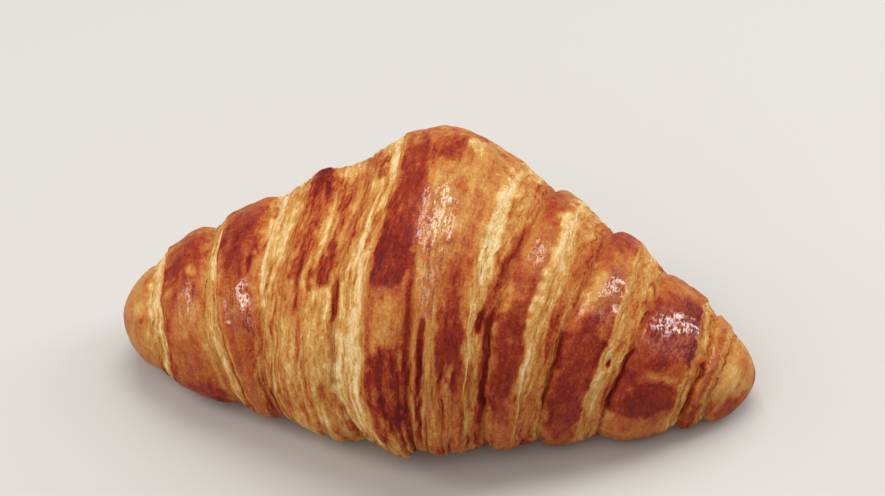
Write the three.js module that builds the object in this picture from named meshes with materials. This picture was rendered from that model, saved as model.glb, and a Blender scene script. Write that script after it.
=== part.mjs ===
// A butter croissant, lying on its flat underside.
//
// One long triangle of laminated dough is rolled up from its broad end, so the
// outside is a stack of overlapping wraps. The two cut sides of the triangle
// show as two seams that wind round the body, one on each side, from the tongue
// under the middle out to the tips. Between two turns of a seam lies a puffed
// band of crust. At the seam the band ends in a lip, then comes the sloping cut
// face of its layers, then a narrow groove where the next band comes out.
//
// Millimetres, +Z up, length along X, the tongue comes down the front (-Y).
import * as THREE from "three";

// Overall size
const LENGTH = 155;
const HALF = LENGTH / 2;
const HALF_DEPTH = 44;
const CROWN = 32.6; // from the roll's own axis to its top, at the middle
const BELLY = 33; // from the axis to the underside before it is pressed flat
const SINK = 3.2; // how much of the belly the tray has pressed flat
const PRESS = 2.4; // height over which the pressed underside rounds up
const MIDDLE_ROUNDING = 0.08; // share of the half length over which the waist is rounded
const TIP_BLUNTNESS = 9;
const SQUARENESS = { above: 2, below: 2.6 }; // of the cross section: 2 is round
const FULL_RELIEF_GIRTH = 1 / 3; // the relief fades where the girth is under this share

// What differs between the two sides: taper towards the tip and lift of the tip
const SIDES = {
  left: { sign: -1, taper: 0.72, lift: 4.9 },
  right: { sign: 1, taper: 0.79, lift: 1.4 },
};

// Where each turn of a seam lies: distance of its lip from the middle under the
// body, at the front, high on the front, at the top and at the back. Then the
// width of its cut face, how far the band beyond it puffs out and the height of
// its lip, and the depth of its groove, each at the front and at the top. The
// first row is the seam's start at the tongue's end, under the middle.
const turn = (at, face, puff, lip, groove) => ({ at, face, puff, lip, groove });
const START = turn([0, 0, 0, 0, 0], [0, 0], [0.5, 0.2], [0, 0], [0, 0]);
const SEAMS = {
  left: [
    START,
    turn([3, 9.8, 10.8, 7.6, 13], [9, 9], [1.4, -1], [2, 0.8], [1.2, 1.2]),
    turn([28, 31.2, 31.2, 30, 34], [5.5, 8.5], [0.4, 0.9], [0.6, 1.2], [1.3, 1.3]),
    turn([38.5, 43.2, 48.6, 51.2, 54], [6, 3.6], [0.7, 1.3], [0.7, 0.8], [1.3, 1.3]),
    turn([60, 60.8, 63.4, 65.2, 68], [5, 4], [0.8, 0.4], [0.5, 1.2], [0.9, 0.9]),
  ],
  right: [
    START,
    turn([10, 10.7, 11.4, 15.4, 19], [5.5, 8.5], [0.5, 0.8], [0.6, 0.5], [1.4, 1.4]),
    turn([21, 22.5, 26.1, 30.8, 34], [6.5, 8], [0.6, 1], [0.6, 1.2], [1.4, 1.4]),
    turn([35, 37.2, 42.4, 46.2, 49], [6, 6.5], [0.8, 0.2], [0.6, 1.4], [1.3, 1.3]),
    turn([56, 57.9, 61.8, 63.1, 64.5], [3.4, 3.4], [1, 0.6], [0.8, 1], [1, 1]),
    turn([62.8, 64.4, 67.4, 69.2, 71], [2.4, 2.4], [1, 0.4], [0.4, 0.4], [0.6, 0.6]),
  ],
};
const STATION_ANGLES = [-50, 0, 45, 90, 180, 310]; // degrees up from the front, and back to under
const TOP_FROM = 20; // the values at the front hold up to here
const TOP_TO = 80; // and the values at the top from here
const TRAY_FROM = 230; // from here to a full turn past the first station, the tray hides the seams
const STRAIGHT_DOWN = 270;
const PRESSED_SEAMS = { flat: 28, full: 48, kept: 0.2 }; // degrees from straight down, share kept

// The bands between the seams
const PUFF_LEAN = 0.85; // under 1, a band is fullest nearer to its groove
const SHOULDER = 1 / 3; // share of a band over which it climbs out of its groove
const NARROWEST_BAND = 1; // keeps the shares finite where two seams meet
const GROOVE_HALF_WIDTH = 0.7;
const WIDEST_FACE = 0.66; // most of a band that its cut face may take
const FACE_FOOT = 0.45; // height of the cut face's foot, as a share of the groove
const LIP_ROUNDING = 0.12; // share of a band over which it turns down to its lip
const LIP_TURN = 0.35; // how far it turns down, as a share of the lip's height
const STEPPED_FACE = 4.5; // a cut face wider than this has pulled apart into steps
const FACE_STEPS = [0.34, 0.66]; // where its steps are, as shares of the face
const STEP_SHARE = 0.04; // half of the run over which a step drops
const STEPPING = 2 / 3; // share of the way down that the steps take

// A fold that runs down the front of the tongue, left of its middle
const FOLD = { at: -0.1, width: 0.09, depth: 1.5, fromAngle: -62, toAngle: 62 };

// How finely the surface is divided
const AROUND = 48;
const FACE_COLUMNS = [0, 0.5]; // shares of the cut face, from lip to foot
const STEP_COLUMNS = [0, ...FACE_STEPS.flatMap((at) => [at - STEP_SHARE, at + STEP_SHARE])];
const BAND_COLUMNS = [0.1, 0.36, 0.66, 0.88]; // shares of the band, from groove to lip
const MIDDLE_COLUMNS = [0, 0.09, 0.2, 0.45, 0.75, 0.92];
const TIP_COLUMNS = [0.14, 0.38, 0.62, 0.8, 0.92, 0.98];

const ROUNDING_ERROR = 1e-9; // puts a place right on a lip beyond it

const lerp = THREE.MathUtils.lerp;
const smooth = (x) => THREE.MathUtils.smoothstep(x, 0, 1);

// The curve through a seam's five places, joined with level shoulders so that
// it never swings past them.
function seamAt(seam, degrees) {
  const values = [...seam.at, seam.at[0]];
  const last = values.length - 1;
  let i = 0;
  while (i < last - 1 && degrees >= STATION_ANGLES[i + 1]) i++;
  const slope = (k) => {
    if (k === 0 || k === last) return 0;
    const before = (values[k] - values[k - 1]) / (STATION_ANGLES[k] - STATION_ANGLES[k - 1]);
    const after = (values[k + 1] - values[k]) / (STATION_ANGLES[k + 1] - STATION_ANGLES[k]);
    return before * after > 0 ? (2 * before * after) / (before + after) : 0;
  };
  const span = STATION_ANGLES[i + 1] - STATION_ANGLES[i];
  const t = (degrees - STATION_ANGLES[i]) / span;
  const t2 = t * t;
  const t3 = t2 * t;
  return (
    (2 * t3 - 3 * t2 + 1) * values[i] +
    (t3 - 2 * t2 + t) * span * slope(i) +
    (3 * t2 - 2 * t3) * values[i + 1] +
    (t3 - t2) * span * slope(i + 1)
  );
}

// Distance from the middle of the line that lies w seams out, on closed lines
// round the body: whole numbers are the seams, the last one is the tip.
function lineAt(seams, w, degrees) {
  const i = Math.max(0, Math.min(seams.length - 1, Math.floor(w)));
  const from = seamAt(seams[i], degrees);
  const to = i + 1 < seams.length ? seamAt(seams[i + 1], degrees) : HALF;
  return lerp(from, to, w - i);
}

// Each seam winds: on the underside it crosses over to the next closed line.
// From 0, at the back, to 1, when it has come round to the front.
const windingShift = (degrees) => smooth((degrees - TRAY_FROM) / (STATION_ANGLES.at(-1) - TRAY_FROM));

// How far an angle is on the way from the front's values to the top's
const topness = (degrees) =>
  smooth((degrees - TOP_FROM) / (TOP_TO - TOP_FROM)) - windingShift(degrees);

// A value of the seam that lies index lines out, at an angle. A pair goes from
// its first number, at the front, to its second one, over the top and the back.
function seamValue(seams, index, degrees, name) {
  const shift = windingShift(degrees);
  const value = (i) => {
    if (i < 0) return 0;
    const [front, top] = seams[Math.min(i, seams.length - 1)][name];
    return lerp(front, top, topness(degrees));
  };
  return lerp(value(index), value(index + 1), shift);
}

function bandWidth(seams, n, degrees) {
  const shift = windingShift(degrees);
  const from = lineAt(seams, Math.max(0, n + shift), degrees);
  const to = lineAt(seams, n + 1 + shift, degrees);
  return Math.max(to - from, NARROWEST_BAND);
}

// Share of band n that its cut face takes
function faceShare(seams, n, degrees) {
  const face = seamValue(seams, n, degrees, "face");
  return Math.min(WIDEST_FACE, face / bandWidth(seams, n, degrees));
}

// How far down its cut face a place is, from 0 at the lip to 1 at the foot
function descent(q, face) {
  const step = (at) => smooth((q - at + STEP_SHARE) / (2 * STEP_SHARE));
  const stairs = FACE_STEPS.reduce((sum, at) => sum + step(at), 0) / FACE_STEPS.length;
  return lerp(q, stairs, STEPPING * smooth(face - STEPPED_FACE));
}

// Share of the relief that the tray has left, by the angle from straight down
function unpressed(degrees) {
  const turned = (degrees - STRAIGHT_DOWN + 540) % 360;
  const away = Math.abs(turned - 180);
  const { flat, full, kept } = PRESSED_SEAMS;
  return lerp(kept, 1, smooth((away - flat) / (full - flat)));
}

// Height of the surface over the smooth body at w seams out
function relief(seams, w, degrees) {
  const shift = windingShift(degrees);
  const n = Math.floor(w - shift + ROUNDING_ERROR);
  const p = w - shift - n; // share of the way from this lip to the next one
  const width = bandWidth(seams, n, degrees);
  const share = faceShare(seams, n, degrees);
  const groove = seamValue(seams, n, degrees, "groove");
  const foot = -groove * FACE_FOOT;
  const inGroove = Math.max(0, 1 - (Math.abs(p - share) * width) / GROOVE_HALF_WIDTH);
  const cut = groove * (1 - FACE_FOOT) * inGroove;
  if (p < share) {
    const lip = seamValue(seams, n, degrees, "lip");
    const face = seamValue(seams, n, degrees, "face");
    return lerp(lip, foot, descent(p / share, face)) - cut;
  }
  const q = (p - share) / (1 - share); // share of the way from the groove to the next lip
  const puff = seamValue(seams, n, degrees, "puff") * Math.sin(Math.PI * Math.pow(q, PUFF_LEAN));
  const isTip = n + 1 + shift > seams.length - 0.5;
  const nextLip = isTip ? 0 : seamValue(seams, n + 1, degrees, "lip");
  const turn = Math.min(1, (1 - q) / LIP_ROUNDING);
  const edge = nextLip * (smooth(q) - LIP_TURN * (1 - turn) * (1 - turn));
  return lerp(foot, 0, smooth(q / SHOULDER)) + puff + edge - cut;
}

function foldDepth(side, w, degrees) {
  const across = Math.abs(side.sign * w - FOLD.at) / FOLD.width;
  const middle = (FOLD.fromAngle + FOLD.toAngle) / 2;
  const along = Math.abs(degrees - middle) / (FOLD.toAngle - middle);
  return FOLD.depth * Math.max(0, 1 - across) * smooth(2 * (1 - along));
}

// Keeps what would lie under the tray on it, with a rounded edge.
function press(z) {
  const near = Math.max(PRESS - Math.abs(z), 0) / PRESS;
  return Math.max(z, 0) + (near * near * PRESS) / 4;
}

// The point of the surface on one side, w seams out and so many degrees round
function surfacePoint(side, seams, w, degrees) {
  const along = lineAt(seams, w, degrees);
  const u = Math.min(1, along / HALF);
  const rounded = Math.hypot(u, MIDDLE_ROUNDING) - MIDDLE_ROUNDING;
  const cone = 1 - side.taper * rounded;
  const girth = cone * Math.sqrt(Math.max(0, 1 - Math.pow(u, TIP_BLUNTNESS)));
  const lift = side.lift * u * u;
  const angle = THREE.MathUtils.degToRad(degrees);
  const towardsFront = -Math.cos(angle);
  const up = Math.sin(angle);
  const squareness = up < 0 ? SQUARENESS.below : SQUARENESS.above;
  const reach = Math.pow(
    Math.pow(Math.abs(towardsFront), squareness) + Math.pow(Math.abs(up), squareness),
    -1 / squareness,
  );
  const kept = Math.min(1, girth / FULL_RELIEF_GIRTH) * unpressed(degrees);
  const raised = (relief(seams, w, degrees) - foldDepth(side, w, degrees)) * kept;
  const y = (HALF_DEPTH * girth + raised) * towardsFront * reach;
  const axisHeight = BELLY * cone - SINK + lift;
  const z = axisHeight + ((up > 0 ? CROWN : BELLY) * girth + raised) * up * reach;
  return [side.sign * along, y, press(z)];
}

// The lines round the body, from the left tip to the right one. A line is its
// side, its band and its place in the band.
function linesOfSide(name) {
  const side = SIDES[name];
  const seams = SEAMS[name];
  const lines = MIDDLE_COLUMNS.map((p) => ({ side, seams, w: () => p }));
  for (let n = 1; n < seams.length; n++) {
    const width = (degrees) => lineAt(seams, n + 1, degrees) - lineAt(seams, n, degrees);
    const face = (degrees) => lerp(...seams[n].face, topness(degrees));
    const share = (degrees) => Math.min(WIDEST_FACE, face(degrees) / width(degrees));
    const groove = (degrees) => GROOVE_HALF_WIDTH / width(degrees);
    const faceColumns = Math.max(...seams[n].face) > STEPPED_FACE ? STEP_COLUMNS : FACE_COLUMNS;
    for (const q of faceColumns) lines.push({ side, seams, w: (degrees) => n + q * share(degrees) });
    for (const step of [-1, 0, 1]) {
      lines.push({ side, seams, w: (degrees) => n + share(degrees) + step * groove(degrees) });
    }
    const columns = n + 1 < seams.length ? BAND_COLUMNS : TIP_COLUMNS;
    for (const q of columns) {
      const from = (degrees) => share(degrees) + groove(degrees);
      lines.push({ side, seams, w: (degrees) => n + lerp(from(degrees), 1, q) });
    }
  }
  lines.push({ side, seams, w: () => seams.length });
  return lines;
}

function croissantGeometry() {
  const lines = [...linesOfSide("left").reverse(), ...linesOfSide("right").slice(1)];
  const geometry = new THREE.SphereGeometry(1, AROUND, lines.length - 1);
  const position = geometry.getAttribute("position");
  lines.forEach((line, row) => {
    for (let column = 0; column <= AROUND; column++) {
      const degrees = STATION_ANGLES[0] + (360 * (column % AROUND)) / AROUND;
      const [x, y, z] = surfacePoint(line.side, line.seams, line.w(degrees), degrees);
      position.setXYZ(row * (AROUND + 1) + column, x, y, z);
    }
  });
  geometry.computeBoundingBox();
  const middle = geometry.boundingBox.getCenter(new THREE.Vector3());
  geometry.translate(-middle.x, -middle.y, 0);
  geometry.deleteAttribute("uv");
  geometry.computeVertexNormals();
  return geometry;
}

const crust = new THREE.MeshStandardMaterial({ color: "#b5692f", roughness: 0.45, metalness: 0 });

const croissant = new THREE.Mesh(croissantGeometry(), crust);
croissant.name = "croissant";

const part = new THREE.Group();
part.add(croissant);

export default part;
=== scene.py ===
"""The looks of a butter croissant: its baked crust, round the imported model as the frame.

The crust is one fine mesh over the same body and the same winding seams as the
solid. It adds the ragged lips, the pulled-apart layers of the cut faces, the
wrinkles and blisters, and how well each place is baked.
"""

import math

import bpy
import numpy as np
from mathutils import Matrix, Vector


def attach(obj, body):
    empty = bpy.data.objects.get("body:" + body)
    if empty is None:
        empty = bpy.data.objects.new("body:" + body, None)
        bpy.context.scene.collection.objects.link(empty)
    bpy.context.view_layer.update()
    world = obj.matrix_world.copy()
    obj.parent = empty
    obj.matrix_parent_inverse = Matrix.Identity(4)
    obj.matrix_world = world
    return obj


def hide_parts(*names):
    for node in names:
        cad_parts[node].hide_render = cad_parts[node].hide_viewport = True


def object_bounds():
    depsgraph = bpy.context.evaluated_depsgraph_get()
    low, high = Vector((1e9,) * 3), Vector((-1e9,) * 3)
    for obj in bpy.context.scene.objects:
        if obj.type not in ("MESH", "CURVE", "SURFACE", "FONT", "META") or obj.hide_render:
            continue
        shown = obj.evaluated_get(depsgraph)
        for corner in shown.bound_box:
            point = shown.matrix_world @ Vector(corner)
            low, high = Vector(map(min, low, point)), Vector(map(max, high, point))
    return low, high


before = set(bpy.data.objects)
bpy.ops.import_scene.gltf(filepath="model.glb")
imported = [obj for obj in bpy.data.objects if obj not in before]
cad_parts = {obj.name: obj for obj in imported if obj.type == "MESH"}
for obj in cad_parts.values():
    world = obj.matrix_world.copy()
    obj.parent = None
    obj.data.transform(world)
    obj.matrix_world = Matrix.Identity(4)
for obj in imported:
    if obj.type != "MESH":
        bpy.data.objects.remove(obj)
solid_low, solid_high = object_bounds()

MM = 0.001

# The body, in millimetres, as in the solid
HALF = 77.5
HALF_DEPTH = 44
CROWN = 32.6
BELLY = 33
SINK = 3.2
PRESS = 2.4
MIDDLE_ROUNDING = 0.08
TIP_BLUNTNESS = 9
SQUARENESS_ABOVE = 2
SQUARENESS_BELOW = 2.6
FULL_RELIEF_GIRTH = 1 / 3

# The seams, as in the solid: the lip's distance from the middle at the stations,
# then face width, puff, lip and groove, each at the front and at the top
STATIONS = np.array([-50, 0, 45, 90, 180, 310], float)
TOP_FROM, TOP_TO = 20, 80
TRAY_FROM = 230
PRESSED_FLAT, PRESSED_FULL, PRESSED_KEPT = 28, 48, 0.2
PUFF_LEAN = 0.85
SHOULDER = 1 / 3
NARROWEST_BAND = 1
GROOVE_HALF_WIDTH = 0.7
WIDEST_FACE = 0.66
FACE_FOOT = 0.45
LIP_ROUNDING = 0.12
LIP_TURN = 0.35
LIP_LEAN = 0.7
FOLD_AT, FOLD_WIDTH, FOLD_DEPTH, FOLD_END = -0.1, 0.09, 1.5, 62

# The crust's fine relief, in millimetres
LAYER_PITCH = 1.7
LAYER_STEP, FACE_GRAIN = 0.4, 0.2
BLISTER, PIMPLE = 0.34, 0.2
WRINKLE, GLAZED_WRINKLE = 0.08, 0.34
STRIP, FIBRE, CREASE = 0.42, 0.22, 0.6
BROAD_SWAY, SHORT_SWAY = 0.55, 0.28
CRACK_SWAY = 0.35

# How far a layer's edge wanders and how wide the threads between layers are, both
# in layers, and how far from 0 the grain is at the edge of a crease
LAYER_WANDERS, LAYER_WAVERS = 0.9, 0.4
THREAD_WIDTH, CREASE_WIDTH = 0.24, 0.13

# Over how many degrees a crack ends, and how dark the painted shade in a crease is beside a crack
CRACK_END = 12
CREASE_PAINTED_SHADE = 0.75

# How layered the cut faces and the lips look, and the least of layers and egg wash
FACE_LAYERS = 0.8
LITTLE_LAYERED, LITTLE_GLAZE = 0.1, 0.04


def turn(at, face, puff, lip, groove):
    """A turn: its seam's places at the stations, then pairs, at the front and at the top."""
    return {"at": at, "face": face, "puff": puff, "lip": lip, "groove": groove}


# Both sides start at the middle of the tongue
START = turn([0, 0, 0, 0, 0], [0, 0], [0.5, 0.2], [0, 0], [0, 0])
LEFT = {
    "sign": -1, "taper": 0.72, "lift": 4.9,
    "turns": [
        START,
        turn([3, 9.8, 10.8, 7.6, 13], [9, 9], [1.4, -1], [2, 0.8], [1.2, 1.2]),
        turn([28, 31.2, 31.2, 30, 34], [5.5, 8.5], [0.4, 0.9], [0.6, 1.2], [1.3, 1.3]),
        turn([38.5, 43.2, 48.6, 51.2, 54], [6, 3.6], [0.7, 1.3], [0.7, 0.8], [1.3, 1.3]),
        turn([60, 60.8, 63.4, 65.2, 68], [5, 4], [0.8, 0.4], [0.5, 1.2], [0.9, 0.9]),
    ],
}
RIGHT = {
    "sign": 1, "taper": 0.79, "lift": 1.4,
    "turns": [
        START,
        turn([10, 10.7, 11.4, 15.4, 19], [5.5, 8.5], [0.5, 0.8], [0.6, 0.5], [1.4, 1.4]),
        turn([21, 22.5, 26.1, 30.8, 34], [6.5, 8], [0.6, 1], [0.6, 1.2], [1.4, 1.4]),
        turn([35, 37.2, 42.4, 46.2, 49], [6, 6.5], [0.8, 0.2], [0.6, 1.4], [1.3, 1.3]),
        turn([56, 57.9, 61.8, 63.1, 64.5], [3.4, 3.4], [1, 0.6], [0.8, 1], [1, 1]),
        turn([62.8, 64.4, 67.4, 69.2, 71], [2.4, 2.4], [1, 0.4], [0.4, 0.4], [0.6, 0.6]),
    ],
}

# How finely the crust is divided: degrees round the body, millimetres along it
DEGREES = np.concatenate([
    np.linspace(STATIONS[0], TRAY_FROM, 226, endpoint=False),
    np.linspace(TRAY_FROM, STATIONS[-1], 40, endpoint=False),
])
FACE_STEP = 0.36
BAND_STEP = 0.84
LAYERED_STEP = 0.5
LIP_REACH, LIP_STEP = 2, 0.4
GROOVE_COLUMNS = (-1, -0.5, 0, 0.5, 1)
TIP_SHARES = (0.06, 0.12, 0.2, 0.3, 0.4, 0.5, 0.6, 0.69, 0.77, 0.84, 0.89, 0.93, 0.96, 0.98, 0.993)


def lerp(a, b, t):
    return a + (b - a) * t


def smooth(x):
    x = np.clip(x, 0, 1)
    return x * x * (3 - 2 * x)


# After how many steps the grain repeats, and what brings it to about -1 to 1
LATTICE, GRAIN_SCALE = 61, 1.7


def grain(points, spacing, seed):
    """Smooth random values, mostly from -1 to 1, in lumps of this size."""
    slopes = np.random.default_rng(seed).normal(size=(LATTICE, LATTICE, LATTICE, 3))
    slopes /= np.linalg.norm(slopes, axis=-1, keepdims=True)
    place = points / np.array(spacing, float)
    corner = np.floor(place).astype(int)
    off = place - corner
    t = off**3 * (off * (6 * off - 15) + 10)
    total = 0
    for step in np.ndindex(2, 2, 2):
        weight = np.prod(np.where(step, t, 1 - t), axis=-1)
        i, j, k = np.moveaxis((corner + step) % LATTICE, -1, 0)
        total = total + weight * np.sum(slopes[i, j, k] * (off - step), axis=-1)
    return GRAIN_SCALE * total


def wandering(degrees, spacing, seed):
    """A random line from -1 to 1 round the body, which closes on itself."""
    turned = np.radians(degrees)
    ring = np.stack([np.cos(turned), np.sin(turned), 0 * turned], -1) * math.degrees(1)
    return grain(ring, (spacing,) * 3, seed)


winding = smooth((DEGREES - TRAY_FROM) / (STATIONS[-1] - TRAY_FROM))
topness = smooth((DEGREES - TOP_FROM) / (TOP_TO - TOP_FROM)) - winding


def seam_places(seam, number, sign):
    """Distance of a seam from the middle, at every angle."""
    values = np.array([*seam["at"], seam["at"][0]], float)
    slopes = np.zeros(len(values))
    steps = np.diff(values) / np.diff(STATIONS)
    for k in range(1, len(values) - 1):
        before, after = steps[k - 1], steps[k]
        if before * after > 0:
            slopes[k] = 2 * before * after / (before + after)
    i = np.clip(np.searchsorted(STATIONS, DEGREES, side="right") - 1, 0, len(steps) - 1)
    span = STATIONS[i + 1] - STATIONS[i]
    t = (DEGREES - STATIONS[i]) / span
    places = (
        (2 * t**3 - 3 * t**2 + 1) * values[i]
        + (t**3 - 2 * t**2 + t) * span * slopes[i]
        + (3 * t**2 - 2 * t**3) * values[i + 1]
        + (t**3 - t**2) * span * slopes[i + 1]
    )
    if number == 0:
        return places
    seed = 100 * (sign + 2) + number
    sway = (BROAD_SWAY * wandering(DEGREES, 13, seed)
            + SHORT_SWAY * wandering(DEGREES, 5, seed + 20))
    return places + sway


def lay_out(side):
    """Adds to a side its seams' places and its values at every angle."""
    turns = side["turns"]
    rows = [seam_places(seam, k, side["sign"]) for k, seam in enumerate(turns)]
    side["places"] = np.array([*rows, np.full(len(DEGREES), HALF)])
    side["typical"] = side["places"].mean(axis=1)
    for name in ("face", "puff", "lip", "groove"):
        front, top = np.array([seam[name] for seam in turns], float).T
        side[name] = lerp(front[:, None], top[:, None], topness)


COLUMNS = np.arange(len(DEGREES))


def at_line(side, w):
    """Distance from the middle of the line w seams out."""
    count = len(side["turns"])
    i = np.clip(np.floor(w).astype(int), 0, count - 1)
    from_seam = side["places"][i, COLUMNS]
    to_seam = side["places"][i + 1, COLUMNS]
    return lerp(from_seam, to_seam, w - i)


def seam_value(side, name, index):
    """A seam's value at every angle; it winds over to the next seam under the body."""
    table = side[name]
    count = len(table)

    def value(i):
        found = table[np.clip(i, 0, count - 1), COLUMNS]
        return np.where(i < 0, 0, found)

    return lerp(value(index), value(index + 1), winding)


def turn_width(side, n):
    """Distance from a turn's seam to the next."""
    start = at_line(side, np.maximum(0, n + winding))
    return np.maximum(at_line(side, n + 1 + winding) - start, NARROWEST_BAND)


def face_share(side, n):
    """How much of a turn's width its cut face takes."""
    return np.minimum(WIDEST_FACE, seam_value(side, "face", n) / turn_width(side, n))


def column_lines(side):
    """The lines round the body of one side, from the middle to its tip."""
    count = len(side["turns"])
    reach = np.diff(side["places"][:, DEGREES < TRAY_FROM], axis=0).mean(axis=1)
    lines = []
    for n in range(count):
        width = side["places"][n + 1] - side["places"][n]
        share = np.minimum(WIDEST_FACE, side["face"][n] / width) if n else 0 * width
        groove = GROOVE_HALF_WIDTH / width if n else 0 * width
        if n:
            steps = round(side["face"][n].max() / FACE_STEP)
            lines += [n + share * q * (1 - groove) for q in np.arange(steps) / steps]
            lines += [n + share + k * groove for k in GROOVE_COLUMNS]
        from_share = share + groove
        if n + 1 < count:
            band = reach[n] * (1 - from_share.mean())
            lip = min(0.5, LIP_REACH / band)
            step = LAYERED_STEP if n < side["layered_turns"] else BAND_STEP
            steps = max(3, round(band * (1 - lip) / step))
            inner = np.linspace(0, 1 - lip, steps, endpoint=False)
            lip_steps = np.arange(1, round(LIP_REACH / LIP_STEP))
            shares = [*inner[1 if n else 0:], *(1 - lip + lip * lip_steps * LIP_STEP / LIP_REACH)]
        else:
            shares = TIP_SHARES
        lines += [n + lerp(from_share, 1, q) for q in shares]
    lines.append(np.full(len(DEGREES), float(count)))
    return lines


def press(z):
    """Heights with what is under the tray's level pressed flat."""
    near = np.maximum(PRESS - np.abs(z), 0) / PRESS
    return np.maximum(z, 0) + near**2 * PRESS / 4


def unpressed():
    """How much relief the tray leaves: little under the body, all above."""
    away = np.abs((DEGREES - 270 + 540) % 360 - 180)
    return lerp(PRESSED_KEPT, 1, smooth((away - PRESSED_FLAT) / (PRESSED_FULL - PRESSED_FLAT)))


# How many turns from the middle are finely divided for their strips, and how much
# of the grooves is kept from the third turn out
LEFT["layered_turns"], RIGHT["layered_turns"] = 2, 1
LEFT["grooves_kept"], RIGHT["grooves_kept"] = 0.35, 1

# Where the dough shows its layers, then where egg wash shines. Each place: its
# turn, counted from 0 in the middle, where it lies across the turn (-1 at the lip,
# 0 in the groove, 1 at the next lip), the degrees up from the front, and how much.
LEFT["layered"] = (
    (0, (-0.2, 1.3), (-70, 24), 0.9),
    (0, (-0.2, 1.3), (30, 150), 0.35),
    (0, (-0.2, 1.3), (150, 220), 0.6),
    (1, (-0.1, 1.1), (-80, 140), 0.85),
    (2, (-0.3, 0.4), (-60, 130), 0.7),
    (3, (-0.3, 0.3), (-60, 130), 0.4),
)
RIGHT["layered"] = (
    (0, (-0.2, 1.3), (-70, 16), 0.7),
    (0, (-0.2, 1.3), (20, 150), 0.4),
    (0, (-0.2, 0.5), (150, 220), 0.7),
    (1, (-0.1, 0.35), (-60, 60), 0.5),
    (2, (-0.1, 0.3), (-60, 60), 0.4),
    (2, (-0.1, 0.4), (120, 215), 0.6),
    (4, (-0.1, 1.1), (-60, 130), 0.45),
    (5, (-0.1, 0.7), (-60, 130), 0.3),
)
LEFT["glazed"] = (
    (0, (0.0, 0.2), (44, 84), 0.7),
    (0, (0.3, 0.9), (140, 172), 0.6),
    (2, (0.25, 0.85), (25, 54), 1.0),
    (2, (0.2, 0.9), (130, 166), 0.9),
    (3, (0.1, 0.7), (24, 60), 0.5),
    (3, (0.3, 0.9), (124, 156), 0.7),
)
RIGHT["glazed"] = (
    (0, (0.0, 0.46), (34, 88), 1.0),
    (1, (0.2, 0.6), (62, 84), 0.6),
    (1, (0.2, 0.9), (130, 170), 0.9),
    (2, (0.0, 0.2), (46, 66), 0.8),
    (2, (0.4, 1.0), (46, 84), 1.0),
    (2, (0.4, 0.9), (140, 176), 0.7),
    (3, (0.1, 1.1), (38, 80), 1.0),
    (3, (0.5, 1.0), (82, 104), 0.5),
    (3, (0.1, 0.9), (126, 160), 0.9),
    (4, (0.0, 0.9), (34, 64), 0.5),
)

# Swellings, or pores where they are negative, in the same way, with their height
# in millimetres
LEFT["swellings"] = (
    (1, (0.6, 1.0), (100, 122), 1.3),
    (2, (0.3, 0.9), (60, 100), 0.5),
    (3, (0.3, 0.9), (60, 100), 0.4),
)
RIGHT["swellings"] = (
    (0, (0.3, 0.8), (100, 120), 0.7),
    (1, (-0.62, -0.44), (29, 37), -0.9),
    (3, (-0.68, -0.52), (23, 30), -0.8),
    (3, (0.1, 0.9), (-30, 10), 0.6),
    (5, (0.1, 0.9), (-48, -14), 0.9),
)

# Cracks. Each: its turn, where it runs across the turn, its half width, the
# degrees between which it runs, and its depth. Widths and depths are millimetres.
LEFT["cracks"] = (
    (1, -0.55, 0.5, (60, 130), 0.7),
    (1, 0.4, 0.5, (50, 112), 0.5),
    (1, 0.7, 0.5, (-30, 40), 0.6),
    (2, -1.0, 0.5, (60, 120), 0.4),
    (3, -1.0, 0.6, (-44, 100), 0.7),
    (4, -1.0, 0.5, (-44, 60), 0.4),
)
RIGHT["cracks"] = (
    (0, 0.14, 0.6, (-34, 30), 1.2),
    (1, -0.16, 0.8, (-12, 44), 1.4),
    (2, 0.0, 0.7, (-10, 40), 1.0),
    (3, 0.0, 0.7, (-14, 46), 1.1),
    (4, 0.0, 0.6, (-30, 50), 0.6),
)


def cover(region, n, u, soft, ragged=0):
    """How much a place covers every point: 1 inside, 0 outside, with a soft edge."""
    turn_number, (u_from, u_to), (from_degrees, to_degrees) = region
    off_u = np.abs(2 * u - u_from - u_to) / (u_to - u_from)
    off_degrees = np.abs(2 * DEGREES - from_degrees - to_degrees) / (to_degrees - from_degrees)
    off = (off_u**3 + off_degrees**3) ** (1 / 3) + soft * ragged
    return smooth((1 + soft / 2 - off) / soft) * (n == turn_number)


def spread(places, base, n, u):
    """The strongest of the places at every point, and the base elsewhere."""
    total = np.full(n.shape, float(base))
    for *region, much in places:
        total = np.maximum(total, much * cover(region, n, u, 0.5))
    return total


def smooth_body(side, along):
    """The body under the relief: its girth, its axis height and the way out from it."""
    out = np.minimum(1, along / HALF)
    cone = 1 - side["taper"] * (np.hypot(out, MIDDLE_ROUNDING) - MIDDLE_ROUNDING)
    girth = cone * np.sqrt(np.maximum(0, 1 - out**TIP_BLUNTNESS))
    axis_height = BELLY * cone - SINK + side["lift"] * out * out
    turned = np.radians(DEGREES)
    to_front, up = -np.cos(turned), np.sin(turned)
    squareness = np.where(up < 0, SQUARENESS_BELOW, SQUARENESS_ABOVE)
    reach = (np.abs(to_front)**squareness + np.abs(up)**squareness) ** (-1 / squareness)
    return girth, axis_height, to_front * reach, up * reach


def cracks(side, n, part, face_width, band_width, place, seed):
    """How much every point lies in a crack, and how deep the cracks are there."""
    in_crack, depths = 0, 0
    for turn_number, across_turn, half_width, (from_degrees, to_degrees), depth in side["cracks"]:
        reach = face_width if across_turn < 0 else band_width
        off_line = (part - across_turn) * reach + CRACK_SWAY * grain(place, (5, 5, 5), seed + 7)
        line = np.maximum(0, 1 - np.abs(off_line) / half_width) * (n == turn_number)
        begins = smooth((DEGREES - from_degrees) / CRACK_END)
        ends = smooth((to_degrees - DEGREES) / CRACK_END)
        here = line * (begins * ends)
        in_crack = np.maximum(in_crack, here)
        depths = depths + depth * here
    return in_crack, depths


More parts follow.
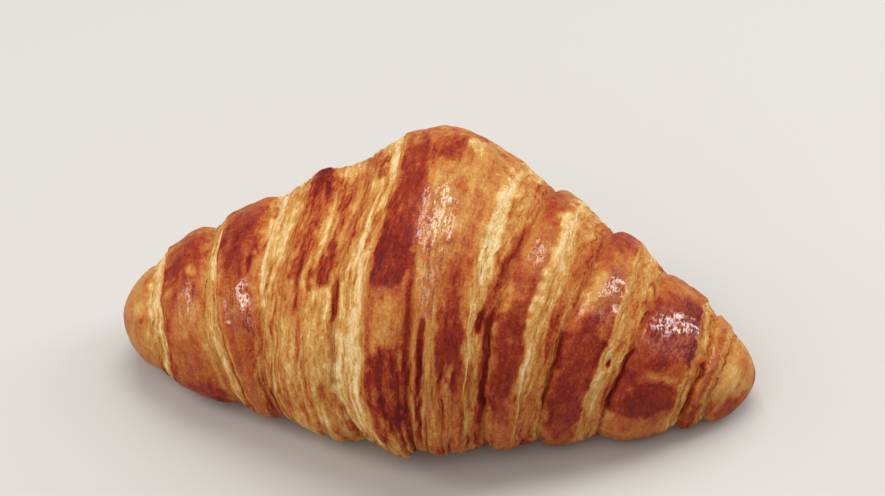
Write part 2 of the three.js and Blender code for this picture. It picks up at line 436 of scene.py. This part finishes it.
def dough(side, lines):
    """Shape and nature of one side's crust, on its lines (rows) at every angle (columns)."""
    sign, count = side["sign"], len(side["turns"])
    w = np.array(lines)
    along = at_line(side, w)
    n = np.floor(w - winding + 1e-9).astype(int)
    p = w - winding - n
    width = turn_width(side, n)
    share = face_share(side, n)
    on_face = p < share
    is_tip = n + 1 + winding > count - 0.5
    down = np.where(share > 0, p / np.maximum(share, 1e-6), 0)
    q = np.clip((p - share) / (1 - share), 0, 1)
    part = np.where(on_face, down - 1, q)

    # The smooth body, and where a place lies on it: across the seams, and in space
    girth, axis_height, out_y, out_z = smooth_body(side, along)
    half_height = np.where(out_z > 0, CROWN, BELLY)
    across = sign * np.interp(w, np.arange(count + 1), side["typical"])
    place = np.stack([across, HALF_DEPTH * girth * out_y, half_height * girth * out_z], -1)
    seed = 10 * (sign + 2)

    # The cut face: layers pulled apart into steps with wandering edges
    groove = seam_value(side, "groove", n)
    foot = -groove * FACE_FOOT
    layer_place = (p * width / LAYER_PITCH
                   + LAYER_WANDERS * grain(place, (4, 16, 16), seed + 1)
                   + LAYER_WAVERS * grain(place, (2, 6, 6), seed + 2))
    layer = layer_place - np.floor(layer_place)
    steps = LAYER_STEP * (0.5 - layer) + FACE_GRAIN * grain(place, (1.1, 9, 9), seed + 3)
    face_edge = smooth(down / 0.12) * smooth((1 - down) / 0.15)
    slope = lerp(seam_value(side, "lip", n), foot, smooth(down) * 0.35 + down * 0.65)
    face_height = slope + steps * face_edge
    # Threads: the gaps between the layers, later painted dark as shade
    threads = smooth(1 - np.minimum(layer, 1 - layer) / THREAD_WIDTH) * face_edge
    threads = threads * smooth(0.5 + grain(place, (3, 8, 8), seed + 11))

    # The band: out of its groove, over its puff and up to the next lip
    puff = seam_value(side, "puff", n) * np.sin(math.pi * q**PUFF_LEAN)
    next_lip = np.where(is_tip, 0, seam_value(side, "lip", n + 1))
    bend = np.minimum(1, (1 - q) / LIP_ROUNDING)
    edge = next_lip * (smooth(q) - LIP_TURN * (1 - bend)**2)
    glaze = spread(side["glazed"], LITTLE_GLAZE, n, part)
    lumps = (BLISTER * grain(place, (9, 9, 9), seed + 4)
             + PIMPLE * grain(place, (4, 3.4, 3.4), seed + 5)
             + lerp(WRINKLE, GLAZED_WRINKLE, glaze) * grain(place, (2, 5, 5), seed + 6))

    # Strips of dough beside each other on the band, with creases between them
    layered = spread(side["layered"], LITTLE_LAYERED, n, part)
    strips = (STRIP * grain(place, (2.4, 22, 22), seed + 8)
              + FIBRE * grain(place, (1.3, 10, 10), seed + 9))
    crease = smooth(1 - np.abs(grain(place, (3.6, 36, 36), seed + 10)) / CREASE_WIDTH)
    crease = crease * smooth((layered - 0.2) / 0.5)
    rough = (lumps + layered * strips - CREASE * crease) * smooth(q / 0.15)
    band_height = lerp(foot, 0, smooth(q / SHOULDER)) + puff + edge + rough

    # All heights together, less where the tips narrow and where the tray presses
    in_groove = np.maximum(0, 1 - np.abs(p - share) * width / GROOVE_HALF_WIDTH)
    cut = groove * (1 - FACE_FOOT) * in_groove * np.where(n < 2, 1, side["grooves_kept"])
    in_crack, depths = cracks(side, n, part, share * width, (1 - share) * width, place, seed)
    height = np.where(on_face, face_height, band_height) - cut - depths
    for *region, much in side["swellings"]:
        height = height + much * cover(region, n, part, 0.9)
    fold = (FOLD_DEPTH * np.maximum(0, 1 - np.abs(sign * w - FOLD_AT) / FOLD_WIDTH)
            * smooth(2 * (1 - np.abs(DEGREES) / FOLD_END)))
    kept = np.minimum(1, girth / FULL_RELIEF_GIRTH) * unpressed()
    raised = (height - fold) * kept

    # The lip leans out over its face, except where there is none
    lean = LIP_LEAN * np.where(on_face, 1 - smooth(down / 0.2), smooth((q - 0.8) / 0.2))
    lean = np.where(is_tip & ~on_face, 0, lean) * np.where(n == 0, ~on_face, 1) * kept
    x = sign * (along + lean)
    y = (HALF_DEPTH * girth + raised) * out_y
    z = axis_height + (half_height * girth + raised) * out_z

    face_layers = FACE_LAYERS * smooth((1 - down) / 0.15)
    lip_layers = np.where(is_tip, 0, FACE_LAYERS * smooth((q - 0.84) / 0.12))
    return {
        "points": np.stack([x, y, press(z)], -1),
        "across": across,
        "turn": n,
        "part": part,
        "layers": np.where(on_face, face_layers, np.maximum(layered, lip_layers)),
        "glaze": np.where(on_face, 0, glaze),
        # Painted shade: dark lines in the cracks, the creases and the gaps between layers
        "dark": np.maximum(in_crack, np.where(on_face, threads, CREASE_PAINTED_SHADE * crease)),
        "place": place,
    }


for side in (LEFT, RIGHT):
    lay_out(side)

left = dough(LEFT, column_lines(LEFT)[::-1])
right = dough(RIGHT, column_lines(RIGHT)[1:])
points = np.concatenate([left["points"], right["points"]])
dough_low, dough_high = points.reshape(-1, 3).min(0), points.reshape(-1, 3).max(0)


# Baking

# How well done each turn's band is, from 0, cream dough, to 1, nearly burnt, and
# its cut face: pairs of a place across it, from -1 at the lip to 0, and how well
# done it is there
LEFT["bands"] = (0.56, 0.28, 0.6, 0.6, 0.46)
RIGHT["bands"] = (0.43, 0.52, 0.58, 0.64, 0.5, 0.32)
LEFT["faces"] = (
    (-1, 0.42), (-0.86, 0.26), (-0.7, 0.05), (-0.48, 0.08), (-0.34, 0.28), (-0.1, 0.34), (0, 0.48),
)
RIGHT["faces"] = (
    (-1, 0.14), (-0.92, 0.06), (-0.74, 0.06), (-0.6, 0.28), (-0.4, 0.44), (0, 0.56),
)
DONE_GROOVE, DONE_LIP, DONE_TRAY = 0.42, 0.4, 0.5
LIP_SHARE, TRAY_SHARE = 0.6, 0.7
LOW_FACES_DARKER = 0.14
LEAST_DONE, MOST_DONE = -0.15, 1

# How much the grain changes how well done a place is
BROAD_IN_FRONT, BROAD_BEHIND = 0.08, 0.2
LUMPS_ON_FACE, LUMPS_ON_BAND = 0.04, 0.09
FINE_LUMPS = 0.07
DONE_STRIP, DONE_FIBRE = 0.27, 0.24
# How much painted shade darkens the cracks, the creases and the gaps between layers
PAINTED_SHADE_LINES = 0.35

# Places paler or darker than their band. Each: its turn, where it lies across
# the turn (-1 at the lip, 0 in the groove, 1 at the next lip), the degrees up
# from the front, how well done it is and how soft its edge is.
LEFT["patches"] = (
    (0, (0.2, 1.0), (40, 112), 0.78, 0.4),
    (0, (0.26, 0.96), (41, 66), 1.0, 0.16),
    (0, (-0.1, 0.3), (90, 114), 0.6, 0.5),
    (0, (0.1, 0.24), (-40, 66), 0.82, 0.5),
    (0, (0.26, 0.86), (18, 40), 0.41, 0.25),
    (0, (0.26, 0.98), (-18, 21), 0.92, 0.35),
    (0, (0.3, 1.0), (-50, -22), 0.34, 0.5),
    (1, (-0.5, -0.2), (92, 108), 0.6, 0.8),
    (1, (-0.8, -0.6), (56, 72), 0.6, 0.8),
    (1, (-0.78, -0.08), (-30, 46), 0.05, 0.4),
    (1, (0.62, 1.0), (54, 118), 0.72, 0.4),
    (1, (0.72, 1.0), (100, 125), 0.86, 0.5),
    (1, (0.08, 0.62), (72, 104), 0.5, 0.7),
    (1, (0.33, 0.52), (64, 80), 0.2, 0.6),
    (1, (0.0, 0.52), (45, 62), 0.74, 0.5),
    (1, (0.08, 0.38), (28, 44), 0.06, 0.4),
    (1, (-0.12, 0.05), (33, 47), 0.86, 0.6),
    (2, (-1.0, -0.6), (-50, 124), 0.4, 0.3),
    (2, (-0.62, 0.08), (50, 124), 0.03, 0.4),
    (2, (0.08, 0.2), (50, 110), 0.42, 0.6),
    (2, (0.3, 0.92), (56, 108), 0.8, 0.6),
    (2, (0.5, 0.82), (62, 86), 0.92, 0.8),
    (2, (0.05, 1.0), (4, 30), 0.64, 0.6),
    (2, (0.0, 0.9), (-50, 0), 0.6, 0.6),
    (3, (0.15, 1.0), (58, 104), 0.74, 0.6),
    (3, (0.5, 0.98), (58, 84), 0.9, 0.8),
    (3, (0.0, 0.75), (24, 60), 0.42, 0.8),
    (3, (0.0, 1.0), (-50, -16), 0.78, 0.6),
    (4, (-0.5, 0.06), (8, 112), 0.08, 0.5),
    (4, (0.1, 0.45), (38, 54), 0.34, 0.8),
    (4, (0.25, 0.36), (26, 33), 0.84, 0.8),
    (4, (0.93, 1.1), (-60, 320), 0.66, 0.3),
    # The back
    (0, (0.25, 1.0), (138, 192), 0.84, 0.5),
    (1, (-0.75, -0.2), (120, 215), 0.14, 0.5),
    (1, (0.2, 0.7), (128, 170), 0.62, 0.6),
    (2, (0.15, 0.95), (132, 205), 0.82, 0.5),
    (3, (-0.9, -0.1), (120, 215), 0.2, 0.5),
    (3, (0.2, 0.9), (118, 160), 0.8, 0.6),
)
RIGHT["patches"] = (
    (0, (0.0, 1.0), (86, 124), 0.36, 0.5),
    (0, (0.36, 0.6), (104, 118), 0.08, 0.5),
    (0, (0.0, 0.42), (44, 90), 0.34, 0.5),
    (0, (0.0, 0.35), (92, 114), 0.72, 0.5),
    (0, (0.38, 0.92), (26, 54), 0.7, 0.45),
    (0, (0.42, 0.95), (3, 36), 0.9, 0.35),
    (0, (0.06, 0.2), (-24, 30), 0.95, 0.5),
    (0, (0.2, 1.0), (-44, 4), 0.46, 0.6),
    (0, (0.95, 1.1), (50, 112), 0.1, 0.3),
    (1, (-1.0, -0.4), (-50, 20), 0.42, 0.4),
    (1, (-1.0, -0.62), (56, 104), -0.06, 0.8),
    (1, (-0.45, -0.04), (-50, 58), 0.62, 0.4),
    (1, (-0.3, -0.04), (-6, 36), 0.98, 0.4),
    (1, (0.1, 0.8), (88, 118), 0.74, 0.6),
    (1, (0.1, 0.8), (48, 62), 0.68, 0.6),
    (1, (0.1, 0.95), (-10, 48), 0.83, 0.45),
    (1, (0.84, 1.1), (40, 112), 0.08, 0.7),
    (1, (0.9, 1.1), (4, 42), 0.3, 0.3),
    (1, (-0.64, -0.44), (29, 37), 0.95, 0.5),
    (2, (-1.0, -0.4), (-50, 8), 0.52, 0.5),
    (2, (-0.42, -0.04), (-50, 46), 0.58, 0.4),
    (2, (0.0, 0.5), (50, 78), 0.3, 0.6),
    (2, (0.1, 0.85), (100, 124), 0.76, 0.6),
    (2, (0.08, 1.0), (-26, 47), 0.88, 0.35),
    (3, (-1.0, -0.1), (16, 130), 0.24, 0.5),
    (3, (-1.0, -0.2), (-50, 12), 0.36, 0.4),
    (3, (0.0, 1.0), (94, 114), 0.56, 0.6),
    (3, (0.0, 1.1), (36, 90), 0.78, 0.35),
    (3, (0.0, 0.75), (27, 42), 0.88, 0.35),
    (3, (0.3, 1.0), (21, 26), 0.42, 0.6),
    (3, (-0.1, 0.95), (-9, 20), 0.92, 0.25),
    (3, (-0.1, 0.36), (2, 44), 0.82, 0.5),
    (3, (0.62, 1.0), (72, 98), 0.88, 0.7),
    (3, (0.0, 1.0), (-48, -14), 0.54, 0.6),
    (3, (-0.7, -0.5), (23, 30), 0.95, 0.5),
    (4, (-1.0, -0.1), (-50, 130), 0.28, 0.4),
    (4, (0.0, 1.0), (-48, 4), 0.76, 0.6),
    (5, (-1.0, -0.0), (-50, 130), 0.34, 0.4),
    (5, (0.0, 1.0), (-50, 2), 0.72, 0.7),
    (5, (0.9, 1.1), (-60, 320), 0.6, 0.3),
    # The back
    (0, (0.3, 0.95), (146, 205), 0.8, 0.5),
    (1, (-0.9, -0.35), (120, 215), 0.12, 0.5),
    (1, (0.1, 0.9), (134, 188), 0.84, 0.45),
    (2, (-0.9, -0.35), (120, 215), 0.2, 0.5),
    (2, (0.3, 1.0), (150, 208), 0.86, 0.5),
    (3, (0.05, 0.9), (132, 184), 0.88, 0.4),
)


def baking(side, crust):
    """How well done every place of one side is."""
    n, u, place, layered = (crust[name] for name in ("turn", "part", "place", "layers"))
    band = np.array(side["bands"])[np.clip(n, 0, len(side["bands"]) - 1)]
    band = lerp(DONE_GROOVE, band, smooth(u / 0.22))
    band = lerp(band, DONE_LIP, LIP_SHARE * smooth((u - 0.8) / 0.2))
    face = np.interp(u, *zip(*side["faces"])) + LOW_FACES_DARKER * smooth((24 - DEGREES) / 30)
    done = np.where(u < 0, face, band)

    # The grain, and the patches with their ragged edges
    broad = grain(place, (10, 12, 12), 71)
    lumps = grain(place, (4, 5, 5), 72)
    fine = grain(place, (1.7, 2.6, 2.6), 73)
    ragged = 0.9 * lumps + 0.9 * fine + 0.7 * grain(place, (1.3, 6, 6), 75)
    for *region, well, soft in side["patches"]:
        done = lerp(done, well, cover(region, n, u, soft, ragged))

    # What the grain and the strips of the layered places add, and the painted shade in the cracks,
    # creases and gaps between layers
    much = lerp(BROAD_IN_FRONT, BROAD_BEHIND, smooth((DEGREES - 110) / 40))
    done = done + much * broad + np.where(u < 0, LUMPS_ON_FACE, LUMPS_ON_BAND) * lumps
    done = done + FINE_LUMPS * fine
    strips = (DONE_STRIP * grain(place, (2.3, 22, 22), 76)
              + DONE_FIBRE * grain(place, (1.2, 9, 9), 77))
    done = done + layered * strips + PAINTED_SHADE_LINES * crust["dark"]

    # The underside, which the tray bakes evenly
    under = smooth((30 - np.abs(DEGREES - 270)) / 12)
    return np.clip(lerp(done, DONE_TRAY, TRAY_SHARE * under), LEAST_DONE, MOST_DONE)


# The crust's mesh

def stack(name):
    """One of dough's results for both sides, from the left tip to the right tip."""
    return np.concatenate([left[name], right[name]])


done = np.concatenate([baking(LEFT, left), baking(RIGHT, right)])


def crust_piece():
    """A sphere whose points are moved onto the dough, fitted onto the solid's box."""
    rows, columns = points.shape[:2]
    bpy.ops.object.select_all(action="DESELECT")
    bpy.ops.mesh.primitive_uv_sphere_add(segments=columns, ring_count=rows - 1, radius=1)
    piece = bpy.context.object
    piece.name = "croissant_crust"
    mesh = piece.data
    mesh.name = "croissant_crust"
    sphere = np.empty(len(mesh.vertices) * 3)
    mesh.vertices.foreach_get("co", sphere)
    sphere = sphere.reshape(-1, 3)
    row = np.rint(np.arccos(np.clip(sphere[:, 2], -1, 1)) / math.pi * (rows - 1)).astype(int)
    azimuth = np.arctan2(sphere[:, 1], sphere[:, 0]) / (2 * math.pi) * columns
    column = np.where((row == 0) | (row == rows - 1), 0, np.rint(azimuth).astype(int) % columns)
    share = (points - dough_low) / (dough_high - dough_low)
    fitted = np.array(solid_low) + share * np.array(solid_high - solid_low)
    mesh.vertices.foreach_set("co", fitted[row, column].ravel())
    for name, values in (
        ("across", stack("across")),
        ("done", done),
        ("layers", stack("layers")),
        ("glaze", stack("glaze")),
    ):
        attribute = mesh.attributes.new(name, "FLOAT", "POINT")
        attribute.data.foreach_set("value", values[row, column].astype(np.float32))
    mesh.update()
    bpy.ops.object.shade_smooth()
    return piece


# Finishes

class Link:
    """A socket; arithmetic on it adds Math nodes."""

    def __init__(self, finish, socket):
        self.finish = finish
        self.socket = socket

    def maths(self, operation, first, second):
        return self.finish.node("ShaderNodeMath", {"operation": operation}, {0: first, 1: second})

    def __add__(self, other):
        return self.maths("ADD", self, other)

    def __radd__(self, other):
        return self.maths("ADD", other, self)

    def __sub__(self, other):
        return self.maths("SUBTRACT", self, other)

    def __rsub__(self, other):
        return self.maths("SUBTRACT", other, self)

    def __mul__(self, other):
        return self.maths("MULTIPLY", self, other)

    def __rmul__(self, other):
        return self.maths("MULTIPLY", other, self)


class Finish:
    """A material with one Principled shader, and the nodes that feed it."""

    def __init__(self, name):
        self.material = bpy.data.materials.new(name)
        self.material.use_nodes = True
        self.tree = self.material.node_tree
        self.shader = self.tree.nodes["Principled BSDF"]

    def plug(self, socket, value):
        if isinstance(value, Link):
            self.tree.links.new(value.socket, socket)
        else:
            socket.default_value = value

    def node(self, kind, settings=None, sockets=None, output=0):
        made = self.tree.nodes.new(kind)
        for name, value in (settings or {}).items():
            if name == "stops":
                set_stops(made.color_ramp, value)
            else:
                setattr(made, name, value)
        for name, value in (sockets or {}).items():
            self.plug(made.inputs[name], value)
        return Link(self, made.outputs[output])

    def surface(self, **sockets):
        for name, value in sockets.items():
            self.plug(self.shader.inputs[name.replace("_", " ")], value)

    def attribute(self, name):
        return self.node("ShaderNodeAttribute", {"attribute_name": name}, output="Fac")

    def ramp(self, value, start, end):
        """0 at start and below, 1 at end and beyond, smooth between them."""
        settings = {"interpolation_type": "SMOOTHSTEP"}
        sockets = {"Value": value, "From Min": start, "From Max": end}
        if start > end:
            sockets.update({"From Min": end, "From Max": start, "To Min": 1.0, "To Max": 0.0})
        return self.node("ShaderNodeMapRange", settings, sockets)

    def size_of(self, value):
        return self.node("ShaderNodeMath", {"operation": "ABSOLUTE"}, {0: value})

    def blend(self, factor, first, second):
        settings = {"data_type": "FLOAT"}
        return self.node("ShaderNodeMix", settings, {0: factor, 2: first, 3: second})

    def vector(self, x, y, z):
        return self.node("ShaderNodeCombineXYZ", {}, {0: x, 1: y, 2: z})

    def noise(self, where, detail, distortion=0.0):
        """Noise from about -1 to 1 with cells of size 1."""
        sockets = {"Vector": where, "Scale": 1.0, "Detail": detail, "Distortion": distortion}
        return (self.node("ShaderNodeTexNoise", {}, sockets) - 0.5) * 3.0


def set_stops(ramp, stops):
    while len(ramp.elements) > 1:
        ramp.elements.remove(ramp.elements[-1])
    for k, (position, colour) in enumerate(stops):
        element = ramp.elements[0] if k == 0 else ramp.elements.new(position)
        element.position = position
        element.color = colour


def paint(red, green, blue):
    """A colour as a screen shows it, from 0 to 255, as the linear values of a finish."""
    def linear(value):
        value = value / 255
        return value / 12.92 if value <= 0.04045 else ((value + 0.055) / 1.055) ** 2.4
    return (*(linear(value) for value in (red, green, blue)), 1)


# The crust's colour for how well done it is
BAKED_TONES = (
    (-0.15, paint(240, 213, 164)),
    (0.0, paint(230, 194, 136)),
    (0.15, paint(212, 163, 93)),
    (0.33, paint(197, 138, 70)),
    (0.5, paint(186, 107, 50)),
    (0.66, paint(168, 79, 38)),
    (0.82, paint(145, 46, 26)),
    (1.0, paint(116, 28, 20)),
    (1.15, paint(92, 22, 17)),
)
PALEST, DARKEST = BAKED_TONES[0][0], BAKED_TONES[-1][0]


def crust_finish():
    """Baked dough: cream, gold, brown or dark as its baking says, with streaks and gloss."""
    finish = Finish("baked_crust")
    across, done, layers = (finish.attribute(name) for name in ("across", "done", "layers"))
    where = finish.node("ShaderNodeTexCoord", output="Object")
    split = finish.node("ShaderNodeSeparateXYZ", {}, {0: where}).socket.node
    x, y, z = (Link(finish, split.outputs[k]) * (1 / MM) for k in range(3))

    def streaks(thick, long, detail, distortion):
        place = finish.vector(across * (1 / thick), y * (1 / long), z * (1 / long))
        return finish.noise(place, detail, distortion)

    def lumps(size, detail):
        return finish.noise(finish.vector(x * (1 / size), y * (1 / size), z * (1 / size)), detail)

    fine_streaks = streaks(thick=0.7, long=2.6, detail=3.0, distortion=0.8)
    wide_streaks = streaks(thick=1.8, long=9, detail=2.0, distortion=0.4)
    crumb = lumps(size=0.7, detail=3.0)
    mottle = lumps(size=2.4, detail=3.0)
    veins = finish.ramp(finish.size_of(lumps(size=1.7, detail=2.0)), start=0.09, end=0.0)
    grit = lumps(size=0.5, detail=1.0)
    flecks = streaks(thick=0.6, long=1.7, detail=1.0, distortion=0.6)
    ripples = streaks(thick=1.3, long=3.2, detail=1.0, distortion=0.8)

    # The tone: how well done a place is, with more grain where layers show, pale
    # veins on the skin between them, and pale flecks in the egg wash: painted highlight where its
    # coat shines
    skin = 1 - layers
    glaze = finish.attribute("glaze")
    tone = done + fine_streaks * (0.09 + layers * 0.22)
    tone = tone + wide_streaks * (0.08 + layers * 0.14)
    tone = tone + crumb * (0.1 + layers * 0.07)
    tone = tone + mottle * (0.04 + skin * 0.08) - skin * veins * 0.16
    # Painted highlight: the egg wash paler where its flecks and grit make the coat shine
    tone = tone + glaze * (0.06 - flecks * 0.14 - grit * 0.1)
    stops = [((well - PALEST) / (DARKEST - PALEST), colour) for well, colour in BAKED_TONES]
    tone_share = (tone - PALEST) * (1 / (DARKEST - PALEST))
    colour = finish.node("ShaderNodeValToRGB", {"stops": stops}, {0: tone_share})

    # The egg wash shines in flecks
    rough = finish.blend(layers, first=0.5, second=0.75) + mottle * 0.06
    coat = glaze * finish.ramp(mottle * 0.3 + flecks + grit * 0.7, start=-0.55, end=0.6)

    # The finest relief, in millimetres
    height = layers * (fine_streaks * 0.1 + wide_streaks * 0.2)
    height = height + crumb * (0.09 + layers * 0.06) + fine_streaks * 0.07
    height = height + skin * (mottle * 0.12 + veins * 0.08)
    height = height + glaze * (grit * 0.05 + flecks * 0.1 + ripples * 0.26)
    bump = finish.node("ShaderNodeBump", {}, {"Strength": 1.0, "Distance": MM, "Height": height})
    finish.surface(Base_Color=colour, Roughness=rough, Coat_Weight=coat, Normal=bump)
    finish.surface(Coat_Roughness=0.15, Coat_IOR=2.0, Specular_IOR_Level=0.12)
    finish.surface(Subsurface_Weight=0.1, Subsurface_Scale=1.2 * MM)
    finish.surface(Subsurface_Radius=(1.0, 0.4, 0.15))
    return finish.material


def floor_finish():
    finish = Finish("pale_floor")
    finish.surface(Base_Color=paint(201, 202, 203), Roughness=0.7)
    return finish.material


# The stage

# The camera stands 7 degrees to the right of the front and 36 degrees up
CAMERA_AIM = Vector((1.4, 0, 38.5)) * MM
CAMERA_TURN, CAMERA_RISE = 7, 36
CAMERA_DISTANCE = 523 * MM
LENS = 90
FLOOR_SIZE = 6
SKY_COLOUR, SKY_STRENGTH = (1, 0.97, 0.92, 1), 0.28
LIGHT_COLOUR = (1, 0.95, 0.88)
LIGHT_AIM = Vector((0, 0, 30)) * MM

# Each light: its name, where it stands (degrees round to the right of the front,
# degrees up and metres away), its size in metres and its power in watts
LIGHTS = (
    ("front_box", (-20, 43, 1.1), (1.2, 1.2), 5.9),
    ("back_box", (180, 73, 1.0), (0.75, 0.7), 6.4),
    ("left_box", (-80, 36, 0.9), (0.26, 0.4), 1.8),
    ("right_box", (120, 34, 0.9), (0.28, 0.64), 3.3),
)


def towards(turn_degrees, rise_degrees):
    """The direction that lies so far round to the right of the front, and up."""
    a, e = math.radians(turn_degrees), math.radians(rise_degrees)
    return Vector((math.sin(a) * math.cos(e), -math.cos(a) * math.cos(e), math.sin(e)))


def face_to(thing, target):
    thing.rotation_euler = (thing.location - target).to_track_quat("Z", "Y").to_euler()


def set_camera():
    data = bpy.data.cameras.new("camera")
    data.lens = LENS
    camera = bpy.data.objects.new("camera", data)
    bpy.context.scene.collection.objects.link(camera)
    # The aim is a place on the dough as modelled; the fit moves the dough's middle to 0
    middle = (dough_low + dough_high) / 2
    aim = CAMERA_AIM - Vector((0, middle[1] * MM, 0))
    camera.location = aim + towards(CAMERA_TURN, CAMERA_RISE) * CAMERA_DISTANCE
    face_to(camera, aim)
    bpy.context.scene.camera = camera


def set_light(name, place, size, power):
    data = bpy.data.lights.new(name, "AREA")
    data.shape = "RECTANGLE"
    data.size, data.size_y = size
    data.energy = power
    data.color = LIGHT_COLOUR
    light = bpy.data.objects.new(name, data)
    bpy.context.scene.collection.objects.link(light)
    turn_degrees, rise_degrees, distance = place
    light.location = LIGHT_AIM + towards(turn_degrees, rise_degrees) * distance
    face_to(light, LIGHT_AIM)


def set_stage():
    bpy.ops.object.select_all(action="DESELECT")
    bpy.ops.mesh.primitive_plane_add(size=FLOOR_SIZE)
    floor = bpy.context.object
    floor.name = "floor"
    floor.data.materials.append(floor_finish())
    world = bpy.data.worlds.new("studio")
    world.use_nodes = True
    background = world.node_tree.nodes["Background"]
    background.inputs["Color"].default_value = SKY_COLOUR
    background.inputs["Strength"].default_value = SKY_STRENGTH
    bpy.context.scene.world = world
    for light in LIGHTS:
        set_light(*light)
    bpy.context.scene.view_settings.view_transform = "Standard"


crust = crust_piece()
crust.data.materials.append(crust_finish())
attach(crust, "root")
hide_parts("croissant")
set_stage()
set_camera()
